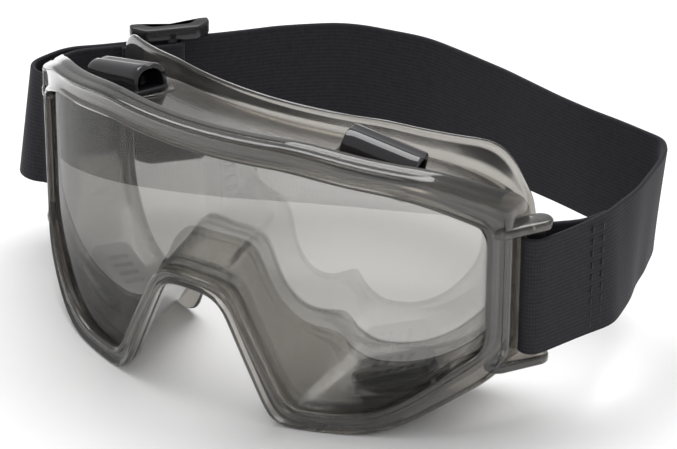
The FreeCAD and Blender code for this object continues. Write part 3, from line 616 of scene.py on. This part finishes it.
def arm(name, side, low):
    """Rounded arm from the rim's side out to the strap post."""
    root = Vector((side * (HALF - 4.0), AXIS_Y - math.sqrt((LENS_R - 1.5) ** 2 - (HALF - 4.0) ** 2)))
    tip = Vector((side * (HALF + 3.0), AXIS_Y - math.sqrt((LENS_R + RIM_BACK) ** 2 - HALF ** 2)))
    run = (tip - root).normalized()
    wide = Vector((-run.y, run.x))
    outline = []
    steps = 12
    for k in range(steps + 1):
        a = -math.pi / 2 + math.pi * k / steps
        outline.append((tip, 3.6 * math.cos(a), 3.6 * math.sin(a)))
    for k in range(steps + 1):
        a = math.pi / 2 + math.pi * k / steps
        outline.append((root, 4.4 * math.cos(a), 4.4 * math.sin(a)))
    rings = []
    for z, inset in ((0.0, 0.9), (0.2, 0.4), (0.7, 0.0), (2.5, 0.0), (3.0, 0.4), (3.2, 0.9)):
        ring = []
        for centre, along, across in outline:
            size = math.hypot(along, across)
            share = (size - inset) / size
            p = centre + run * along * share + wide * across * share
            ring.append((p.x, p.y, low + z))
        rings.append(ring)
    return stacked(name, rings, VINYL)


def pin(name, x, y, low, high):
    """Strap post, flared where it runs into the arms."""
    tall = high - low
    levels = ((0.0, 2.4), (0.4, 1.8), (1.2, 1.5), (tall - 1.2, 1.5), (tall - 0.4, 1.8), (tall, 2.4))
    rings = []
    for z, r in levels:
        rings.append([(x + r * math.cos(a), y + r * math.sin(a), low + z)
                      for a in (2 * math.pi * k / 20 for k in range(20))])
    return stacked(name, rings, VINYL)


POST_X = HALF + 3.0
POST_Y = AXIS_Y - math.sqrt((LENS_R + RIM_BACK) ** 2 - HALF ** 2)
for side, word in ((1, "left"), (-1, "right")):
    arms = [arm("arm", side, low) for low in (19.3, 63.5)]
    post = pin("pin", side * POST_X, POST_Y, 22.3, 63.7)
    lug = joined("strap_lug_" + word, arms + [post])
    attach(lug, "mask")


# ---------------------------------------------------------------- lens
def build_lens():
    """Curved pane from upright columns between the outline's lower and upper edge."""
    outline = loop(WINDOW, 3.0)
    xs = outline[:, 0]
    right, left = int(np.argmax(xs)), int(np.argmin(xs))
    columns = 150
    grid_x = (xs.max() - 0.02) * np.linspace(-1, 1, columns)

    def heights(points):
        ordered = points[np.argsort(points[:, 0])]
        return np.interp(grid_x, ordered[:, 0], ordered[:, 1])

    # the two chains of the outline between its extreme sides
    chain = [(right + k) % len(outline) for k in range(len(outline))]
    cut_at = chain.index(left)
    low = heights(outline[chain[:cut_at + 1]])
    top = heights(outline[chain[cut_at:] + [chain[0]]])
    side_pts = outline[np.abs(xs - xs.max()) < 0.06]
    top[0] = top[-1] = side_pts[:, 1].max()
    low[0] = low[-1] = side_pts[:, 1].min()
    rows = 26
    verts = []
    for r in (0.0, -2.0):
        for i in range(columns):
            for j in range(rows):
                z = low[i] + (top[i] - low[i]) * j / (rows - 1)
                y = AXIS_Y - math.sqrt((LENS_R + r) ** 2 - grid_x[i] ** 2)
                verts.append((grid_x[i], y, z))
    layer = columns * rows
    faces = []
    for i in range(columns - 1):
        for j in range(rows - 1):
            a = i * rows + j
            faces.append((a, a + 1, a + rows + 1, a + rows))
            faces.append((layer + a, layer + a + rows, layer + a + rows + 1, layer + a + 1))
    border = [i * rows for i in range(columns)] + [(columns - 1) * rows + j for j in range(1, rows)]
    border += [i * rows + rows - 1 for i in range(columns - 2, -1, -1)] + [j for j in range(rows - 2, 0, -1)]
    for k, a in enumerate(border):
        b = border[(k + 1) % len(border)]
        faces.append((a, b, layer + b, layer + a))
    return new_object("lens_pane", verts, faces, LENS, 30.0)


lens = build_lens()
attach(lens, "mask")
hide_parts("lens")


# ---------------------------------------------------------------- vent caps
def arch(width, rise, power, steps):
    """Half loaf outline in (y, z), from -y to +y."""
    out = []
    for k in range(steps + 1):
        a = math.pi * (1 - k / steps)
        c, s = math.cos(a), math.sin(a)
        out.append((width / 2 * math.copysign(abs(c) ** (2 / power), c), rise * abs(s) ** (2 / power)))
    return out


DOME_WIDTH = 12.8


def build_cap(name, place, rise):
    """Flanged base, hollow loaf with an arched mouth at each end, a groove along its crown, and a neck."""
    flange_levels = [(0.02, 0.5), (0.15, 0.15), (0.45, 0.0), (1.1, 0.0), (1.4, 0.2), (1.5, 0.6)]
    parts = [block(name + "_base", 26.0, 15.0, 3.6, flange_levels, BLACK, place)]
    parts.append(block(name + "_neck", 18.0, 8.5, 1.2, [(-3.4, 0.4), (-3.0, 0.0), (0.3, 0.0)], BLACK, place))
    steps = 28
    inner_drop, skin = 1.5, 1.5
    sections = []
    ends = [(11.7, -0.45, 0.25), (11.5, -0.15, 0.08), (11.1, 0.0, 0.0), (9.0, 0.0, 0.0), (6.0, 0.0, 0.0)]
    stations = [(-x, out, into) for x, out, into in ends] + [(0.0, 0.0, 0.0)] + ends[::-1]
    for x, grow_out, grow_in in stations:
        outer = arch(DOME_WIDTH + 2 * grow_out, rise + 0.2 + grow_out, 2.9, steps)
        inner = arch(DOME_WIDTH - 2 * skin + 2 * grow_in, rise - inner_drop + grow_in, 2.6, steps)
        ring = []
        for y, z in outer:
            dip = 0.45 * math.exp(-(y / 0.55) ** 2)
            ring.append((x, y, 1.0 + z - dip))
        ring += [(x, y, 1.0 + z) for y, z in reversed(inner)]
        sections.append(ring)
    verts = [p for ring in sections for p in ring]
    size = len(sections[0])
    faces = ring_faces(len(sections), size)
    for base in (0, (len(sections) - 1) * size):
        for j in range(steps):
            faces.append((base + j, base + j + 1, base + size - 2 - j, base + size - 1 - j))
    verts = [tuple(place @ Vector(v)) for v in verts]
    parts.append(new_object(name + "_loaf", verts, faces, BLACK, 35.0))
    # a low partition inside keeps a straight splash out
    baffle_levels = [(1.0, 0.0), (rise * 0.9, 0.0)]
    parts.append(block(name + "_baffle", 1.4, DOME_WIDTH - 2 * skin + 0.6, 0.3, baffle_levels, BLACK, place))
    return joined(name, parts)


for vent, place in VENTS.items():
    cap = build_cap("vent_cap_" + vent + "_loaf", place, 7.4 if vent.startswith("top") else 5.0)
    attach(cap, "mask")
    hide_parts("vent_cap_" + vent)
    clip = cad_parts["vent_clip_" + vent]
    clip.data.materials.clear()
    clip.data.materials.append(CLIP)
    edge = clip.modifiers.new("edge", "BEVEL")
    edge.width = 0.00025
    edge.segments = 2

# ---------------------------------------------------------------- headband
BAND_T = 1.5
BAND_LOW, BAND_HIGH = 24.0, 62.0
LEFT_LEAN, RIGHT_LEAN = math.radians(17.0), math.radians(40.0)
POST_RADIUS, LOOP_GAP, LOOP_PLAY, PLY_GAP, LAYER_GAP = 1.5, 1.3, 2.5, 0.2, 0.5
TAIL = 24.0
BAND_BACK = 94.5
LOOP_SIDE = POST_RADIUS + LOOP_GAP + BAND_T / 2
LAYER_STEP = BAND_T + LAYER_GAP
TEMPLE_AHEAD, SIDE_OUT, SIDE_BACK = 7.0, 14.4, 4.6
TEMPLE_TURN, SIDE_TURN = 14.0, 6.5
SLIDER_PLACE, RETURN_STOP = 26.0, 15.5
PLATE = 1.5
BAR_GAP = 0.15
SLIDER_BAR, SLIDER_HALF, RAIL_TOP = 3.4, 13.0, 24.0
INNER_LAYER = -LAYER_STEP
BAR_MID = INNER_LAYER - BAND_T / 2 - BAR_GAP - PLATE / 2


def by_post(side, lean, points):
    """Plan points given along and outward from a post."""
    along = Vector((side * math.sin(lean), math.cos(lean)))
    outward = Vector((side * math.cos(lean), -math.sin(lean)))
    origin = Vector((side * POST_X, POST_Y))
    placed = []
    for s, d, r in points:
        p = origin + along * s + outward * d
        placed.append((p.x, p.y, r))
    return placed


def beside(before, here, after, step):
    """Corner of the line that runs step to the left of before-here-after."""
    u = (here - before).normalized()
    v = (after - here).normalized()
    return here + Vector((-u.y - v.y, u.x + v.x)) * (step / (1 + u.dot(v)))


def band_route():
    """Plan route of the headband, and the slider's centre, run and outward direction on it."""
    rear = BAND_BACK - math.sqrt((LENS_R + RIM_BACK) ** 2 - HALF ** 2) + AXIS_Y
    lap = LOOP_SIDE - BAND_T - PLY_GAP
    fold = LOOP_PLAY + LOOP_SIDE
    route = by_post(1, LEFT_LEAN, [
        (TAIL, lap, 0), (TAIL - 9.0, lap, 12.0), (5.0, -LOOP_SIDE, 9.0),
        (-fold, -LOOP_SIDE, LOOP_SIDE), (-fold, LOOP_SIDE, LOOP_SIDE), (TAIL + 3.0, LOOP_SIDE, 30.0),
    ])
    route += [
        (POST_X + 12.3, POST_Y + 38.0, 50.0), (POST_X + 7.0, POST_Y + 64.0, 40.0),
        (POST_X - 0.5, POST_Y + 75.0, 7.0), (POST_X - 28.5, rear - 15.0, 60.0), (22.0, rear - 6.0, 60.0),
        (-12.0, rear - BAND_T / 2, 36.0), (-38.0, rear - 5.8, 36.0),
    ]
    stretch_back = Vector((31.5 - POST_X, rear - 21.5))
    stretch_front = Vector((-POST_X - 9.0, POST_Y + 27.5))
    run = (stretch_front - stretch_back).normalized()
    outward = Vector((run.y, -run.x))
    centre = stretch_front - run * SLIDER_PLACE
    temple = stretch_front + run * TEMPLE_AHEAD
    side_corner = Vector((-POST_X - SIDE_OUT, POST_Y + SIDE_BACK))
    to_post = by_post(-1, RIGHT_LEAN, [(6.0, LOOP_SIDE, 6.0)])
    post_side = Vector(to_post[0][:2])
    route += [(*stretch_back, 24.0), (*temple, TEMPLE_TURN), (*side_corner, SIDE_TURN)] + to_post
    route += by_post(-1, RIGHT_LEAN, [
        (-fold, LOOP_SIDE, LOOP_SIDE), (-fold, -LOOP_SIDE, LOOP_SIDE), (3.0, -LOOP_SIDE, 6.0),
    ])
    # the returning layer runs inside the outer one, up to the slider
    inner_side = beside(temple, side_corner, post_side, LAYER_STEP)
    inner_temple = beside(stretch_back, temple, side_corner, LAYER_STEP)
    return_end = centre + run * RETURN_STOP - outward * LAYER_STEP
    route += [(*inner_side, SIDE_TURN - LAYER_STEP), (*inner_temple, TEMPLE_TURN - LAYER_STEP)]
    return route + [(*return_end, 0)], centre, run, outward


ROUTE, slider_centre, slider_run, slider_out = band_route()
SLIDER_AT = Vector((*slider_centre, (BAND_LOW + BAND_HIGH) / 2))
RUN = Vector((*slider_run, 0.0))
OUT = Vector((*slider_out, 0.0))


def centreline(points, pitch, passes):
    """Evenly spaced points along straight runs joined by tangent arcs, a little relaxed."""
    raw = [np.array(points[0][:2])]
    for i in range(1, len(points) - 1):
        a, b, c = (np.array(points[j][:2], float) for j in (i - 1, i, i + 1))
        r = points[i][2]
        ta, tc = (a - b) / np.linalg.norm(a - b), (c - b) / np.linalg.norm(c - b)
        inside = math.acos(np.clip(np.dot(ta, tc), -1, 1))
        reach = r / math.tan(inside / 2)
        towards = (ta + tc) / np.linalg.norm(ta + tc)
        centre = b + towards * r / math.sin(inside / 2)
        start, end = b + ta * reach, b + tc * reach
        a0, a1 = (math.atan2(p[1] - centre[1], p[0] - centre[0]) for p in (start, end))
        turn = (a1 - a0 + math.pi) % (2 * math.pi) - math.pi
        n = max(4, int(abs(turn) * r / 0.4))
        angles = [a0 + turn * k / n for k in range(n + 1)]
        raw += [centre + r * np.array([math.cos(a), math.sin(a)]) for a in angles]
    raw.append(np.array(points[-1][:2]))
    raw = np.array(raw)
    gaps = np.linalg.norm(np.diff(raw, axis=0), axis=1)
    run = np.concatenate([[0], np.cumsum(gaps)])
    count = int(run[-1] / pitch) + 1
    at = np.linspace(0, run[-1], count)
    line = np.column_stack([np.interp(at, run, raw[:, 0]), np.interp(at, run, raw[:, 1])])
    for _ in range(passes):
        line[1:-1] = 0.25 * line[:-2] + 0.5 * line[1:-1] + 0.25 * line[2:]
    return line


def eased(values):
    """The same values with their kinks rounded off."""
    for _ in range(30):
        values[1:-1] = 0.25 * values[:-2] + 0.5 * values[1:-1] + 0.25 * values[2:]
    return values


def build_band(name, line, leans=None):
    """Ribbed band standing on its plan line; leans shift its top and bottom edge sideways."""
    gaps = np.linalg.norm(np.diff(line, axis=0), axis=1)
    run = np.concatenate([[0], np.cumsum(gaps)])
    tangent = np.gradient(line, axis=0)
    tangent /= np.linalg.norm(tangent, axis=1)[:, None]
    normal = np.column_stack([tangent[:, 1], -tangent[:, 0]])
    tall = BAND_HIGH - BAND_LOW
    ribs = round(tall / RIB_PITCH)
    rows = ribs * 4
    levels = np.linspace(0, 1, rows + 1)
    half = BAND_T / 2
    relief = 0.045
    profile = []
    for face in (1, -1):
        for v in (levels if face == 1 else levels[::-1]):
            end = min(v, 1 - v) * tall
            soft = math.sqrt(max(0.0, 1 - (1 - min(end / 0.6, 1.0)) ** 2))
            wave = relief * (0.5 - 0.5 * math.cos(2 * math.pi * v * ribs))
            profile.append((face * (half - relief + wave) * (0.25 + 0.75 * soft), v))
    size = len(profile)
    verts, uvs = [], []
    shift_top = np.zeros(len(line))
    shift_low = np.zeros(len(line))
    if leans is not None:
        shift_top, shift_low = (eased(np.interp(run, *zip(*table))) for table in leans)
    for i, p in enumerate(line):
        top, low = shift_top[i], shift_low[i]
        for d, v in profile:
            shift = low + (top - low) * v
            q = p + normal[i] * (d + shift)
            verts.append((q[0], q[1], BAND_LOW + v * tall))
            uvs.append((run[i], v * tall))
    faces = ring_faces(len(line), size)
    for base in (0, (len(line) - 1) * size):
        for j in range(rows):
            faces.append((base + j, base + j + 1, base + size - 2 - j, base + size - 1 - j))
    mesh = bpy.data.meshes.new(name)
    mesh.from_pydata([tuple(c * MM for c in v) for v in verts], [], faces)
    layer = mesh.uv_layers.new(name="band")
    for item in mesh.loops:
        layer.data[item.index].uv = uvs[item.vertex_index]
    mesh.materials.append(ELASTIC)
    obj = bpy.data.objects.new(name, mesh)
    bpy.context.scene.collection.objects.link(obj)
    finish_mesh(obj, 60.0)
    return obj


# (run along the band, outward shift) of the band's edges, where the worn band leans
TOP_SHIFT = [
    (0, 0), (50, 0), (62, -0.8), (73, -2.6), (89, -2.35), (104, -2.1), (113, -0.7), (120, -1.5), (138, -0.9),
    (162, -1.5), (190, -0.2), (207, 0.7), (224, 1.0), (238, 1.3), (251, 1.9), (264, 1.5), (277, 0.4),
    (288, 0), (334, 0), (341, 1.2), (348, 2.3), (355, 3.0), (361, 0), (439, 0),
]
LOW_SHIFT = [
    (0, 0), (56, 0), (66, 0.7), (76, -2.4), (92, -5.2), (108, -5.4), (118, -3.2), (130, -0.5), (162, -0.3),
    (175, -0.9), (200, -0.6), (240, 0.6), (277, 0.2), (288, 0), (334, 0), (341, 2.2), (349, 6.2), (355, 9.0),
    (360, 5.0), (364, 0), (439, 0),
]
band = build_band("strap_band", centreline(ROUTE, 0.8, 6), (TOP_SHIFT, LOW_SHIFT))
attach(band, "strap")
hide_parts("headband")

bar_turn = (INNER_LAYER - (BAR_MID - PLATE / 2 - BAR_GAP - BAND_T / 2)) / 2
bar_reach = SLIDER_BAR / 2 + bar_turn
far = INNER_LAYER - 2 * bar_turn
end_layer = INNER_LAYER - BAND_T - 0.2
END_BEND = 4.0
second_layer = end_layer - BAND_T - PLY_GAP
END_ROUTE = [
    (16.5, end_layer, 0), (8.5, end_layer, END_BEND), (4.5, INNER_LAYER, END_BEND),
    (-bar_reach, INNER_LAYER, bar_turn), (-bar_reach, far, bar_turn),
    (END_BEND, far, END_BEND), (8.5, second_layer, END_BEND), (15.5, second_layer, 0),
]
end_points = []
for s, d, r in END_ROUTE:
    p = SLIDER_AT + RUN * s + OUT * d
    end_points.append((p.x, p.y, r))
band_end = build_band("strap_end", centreline(end_points, 0.5, 4))
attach(band_end, "adjuster")
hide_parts("headband_end")


# ---------------------------------------------------------------- stitches
def build_seam(name, centre, along, outward, rows, depths):
    """Rows of short raised stitches on the two faces given by depths."""
    parts = []
    pitch, long, thread = 4.0, 2.4, 0.6
    count = int((BAND_HIGH - BAND_LOW - 6.0) / pitch)
    middle = (BAND_LOW + BAND_HIGH) / 2
    for s in rows:
        for i in range(count + 1):
            z = middle + (i - count / 2) * pitch
            rings = []
            for k in range(9):
                t = -1 + 2 * k / 8
                lift = math.sqrt(max(0.0, 1 - t * t))
                ring = []
                for m in range(8):
                    a = 2 * math.pi * m / 8
                    radius = thread / 2 * (0.35 + 0.65 * lift)
                    ring.append((radius * math.cos(a), radius * math.sin(a), t * long / 2))
                rings.append(ring)
            for depth in depths:
                place = Matrix((along, outward, Vector((0, 0, 1)))).transposed().to_4x4()
                place.translation = centre + along * s + outward * depth + Vector((0, 0, z))
                parts.append(stacked(name + "_stitch", rings, THREAD, 60.0, place))
    return joined(name, parts)


left_post = Vector((POST_X, POST_Y, 0))
left_along = Vector((math.sin(LEFT_LEAN), math.cos(LEFT_LEAN), 0))
left_out = Vector((math.cos(LEFT_LEAN), -math.sin(LEFT_LEAN), 0))
seam = build_seam("seam_left_stitches", left_post, left_along, left_out, (17.0, 21.0),
                  (LOOP_SIDE + BAND_T / 2, LOOP_SIDE - 1.5 * BAND_T - PLY_GAP))
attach(seam, "strap")
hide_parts("seam_left")
flat_slider = Vector((SLIDER_AT.x, SLIDER_AT.y, 0))
seam = build_seam("seam_right_stitches", flat_slider, RUN, OUT, (10.9, 13.3),
                  (end_layer + BAND_T / 2, end_layer - 1.5 * BAND_T - PLY_GAP))
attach(seam, "adjuster")
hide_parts("seam_right")


# ---------------------------------------------------------------- slider
def build_slider():
    """Two rails, a front and a rear bar over the band and a centre bar behind it."""
    up = RUN.cross(OUT)
    place = Matrix((RUN, OUT, up)).transposed().to_4x4()
    place.translation = SLIDER_AT
    outer = BAND_T / 2 + 0.3
    deep = -(BAR_MID - PLATE / 2)
    bay = (BAND_HIGH - BAND_LOW) / 2 + 0.3
    bar_half = 22.9
    parts = []

    def bar(x0, x1, y0, y1, z0, z1, radius):
        """Bar with rounded long edges, its length along z."""
        ring2d = rounded_rectangle(x1 - x0, y1 - y0, radius, 5)
        rings = []
        near = ((z0, 0.7), (z0 + 0.2, 0.25), (z0 + 0.7, 0.0))
        for z, inset in near + ((z1 - 0.7, 0.0), (z1 - 0.2, 0.25), (z1, 0.7)):
            sx = (x1 - x0 - 2 * inset) / (x1 - x0)
            sy = (y1 - y0 - 2 * min(inset, 0.45 * (y1 - y0))) / (y1 - y0)
            rings.append([((x0 + x1) / 2 + x * sx, (y0 + y1) / 2 + y * sy, z) for x, y in ring2d])
        return stacked("bar", rings, BUCKLE, 40.0, place)

    over = outer + PLATE
    outline = [np.array(point) for point in (
        (-SLIDER_HALF, over), (-9.2, over), (-6.2, -0.9), (6.2, -0.9), (9.2, over), (SLIDER_HALF, over),
        (SLIDER_HALF, -0.6), (8.6, -deep), (-8.6, -deep), (-SLIDER_HALF, -0.6))]
    soft = []
    for i, here in enumerate(outline):
        before, after = outline[i - 1], outline[(i + 1) % len(outline)]
        a = here + (before - here) / np.linalg.norm(before - here) * 1.1
        c = here + (after - here) / np.linalg.norm(after - here) * 1.1
        for k in range(6):
            t = k / 5
            soft.append(a * (1 - t) ** 2 + here * 2 * t * (1 - t) + c * t ** 2)
    soft = np.array(soft)
    tangent = np.roll(soft, -1, 0) - np.roll(soft, 1, 0)
    tangent /= np.linalg.norm(tangent, axis=1)[:, None]
    normal = np.column_stack([tangent[:, 1], -tangent[:, 0]])
    if np.dot(normal[0], soft[0] - soft.mean(0)) < 0:
        normal = -normal
    for sign in (1, -1):
        rings = []
        low, high = sorted((sign * bay, sign * RAIL_TOP))
        near = ((low, 0.6), (low + 0.15, 0.25), (low + 0.6, 0.0))
        for z, inset in near + ((high - 0.9, 0.0), (high - 0.25, 0.3), (high, 0.8)):
            rings.append([(p[0], p[1], z) for p in soft - normal * inset])
        parts.append(stacked("rail", rings, BUCKLE, 40.0, place))
        x0, x1 = sorted((sign * (SLIDER_HALF - SLIDER_BAR), sign * SLIDER_HALF))
        parts.append(bar(x0, x1, outer, over, -bar_half, bar_half, 0.7))
    parts.append(bar(-SLIDER_BAR / 2, SLIDER_BAR / 2, -deep, -deep + PLATE, -bar_half, bar_half, 0.7))
    return joined("buckle", parts)


buckle = build_slider()
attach(buckle, "adjuster")
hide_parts("slider")


# ---------------------------------------------------------------- floor, light and camera
def floor_material():
    mat, nodes, links, bsdf = material("paper_sweep")
    vector = coordinates(nodes, links, (1, 1, 1))
    tone = noise(nodes, links, vector, 40.0)
    paper = ramp(nodes, links, tone, [(0.2, (0.90, 0.90, 0.90)), (0.8, (0.92, 0.92, 0.92))])
    links.new(paper, bsdf.inputs["Base Color"])
    bsdf.inputs["Roughness"].default_value = 0.7
    return mat


bpy.ops.mesh.primitive_plane_add(size=6.0, location=(0, 0, 0))
ground = bpy.context.active_object
ground.name = "floor"
ground.data.materials.append(floor_material())


def area(name, place, target, size, power):
    light = bpy.data.lights.new(name, "AREA")
    light.shape = "RECTANGLE"
    light.size, light.size_y = size
    light.energy = power
    obj = bpy.data.objects.new(name, light)
    obj.location = place
    obj.rotation_euler = (Vector(target) - Vector(place)).to_track_quat("-Z", "Y").to_euler()
    bpy.context.scene.collection.objects.link(obj)


area("overhead", (-0.25, 0.35, 1.3), (0, 0, 0), (1.5, 1.1), 21.0)
area("front_fill", (0.9, -1.3, 0.9), (0, 0, 0.04), (0.7, 0.7), 3.0)
world = bpy.data.worlds.new("studio")
world.use_nodes = True
world.node_tree.nodes["Background"].inputs["Color"].default_value = (1.0, 1.0, 1.0, 1.0)
world.node_tree.nodes["Background"].inputs["Strength"].default_value = 0.5
bpy.context.scene.world = world
bpy.context.scene.view_settings.view_transform = "Standard"

AZIMUTH, ELEVATION, ROLL = (math.radians(a) for a in (34.2394, 27.7738, 0.2286))
FOCAL_LENGTH, SENSOR_WIDTH = 176.862, 36.0
CAMERA_PLACE = Vector((0.51739, AXIS_Y * MM - 0.79176, 0.51072))
level = math.cos(ELEVATION)
aim = Vector((-math.sin(AZIMUTH) * level, math.cos(AZIMUTH) * level, -math.sin(ELEVATION)))
across = aim.cross(Vector((0, 0, 1))).normalized()
above = across.cross(aim)
across = across * math.cos(ROLL) + above * math.sin(ROLL)
above = across.cross(aim)
camera = bpy.data.objects.new("camera", bpy.data.cameras.new("camera"))
camera.data.lens = FOCAL_LENGTH
camera.data.sensor_width = SENSOR_WIDTH
camera.data.clip_end = 20.0
pose = Matrix((across, above, -aim)).transposed().to_4x4()
pose.translation = CAMERA_PLACE
camera.matrix_world = pose
bpy.context.scene.collection.objects.link(camera)
bpy.context.scene.camera = camera
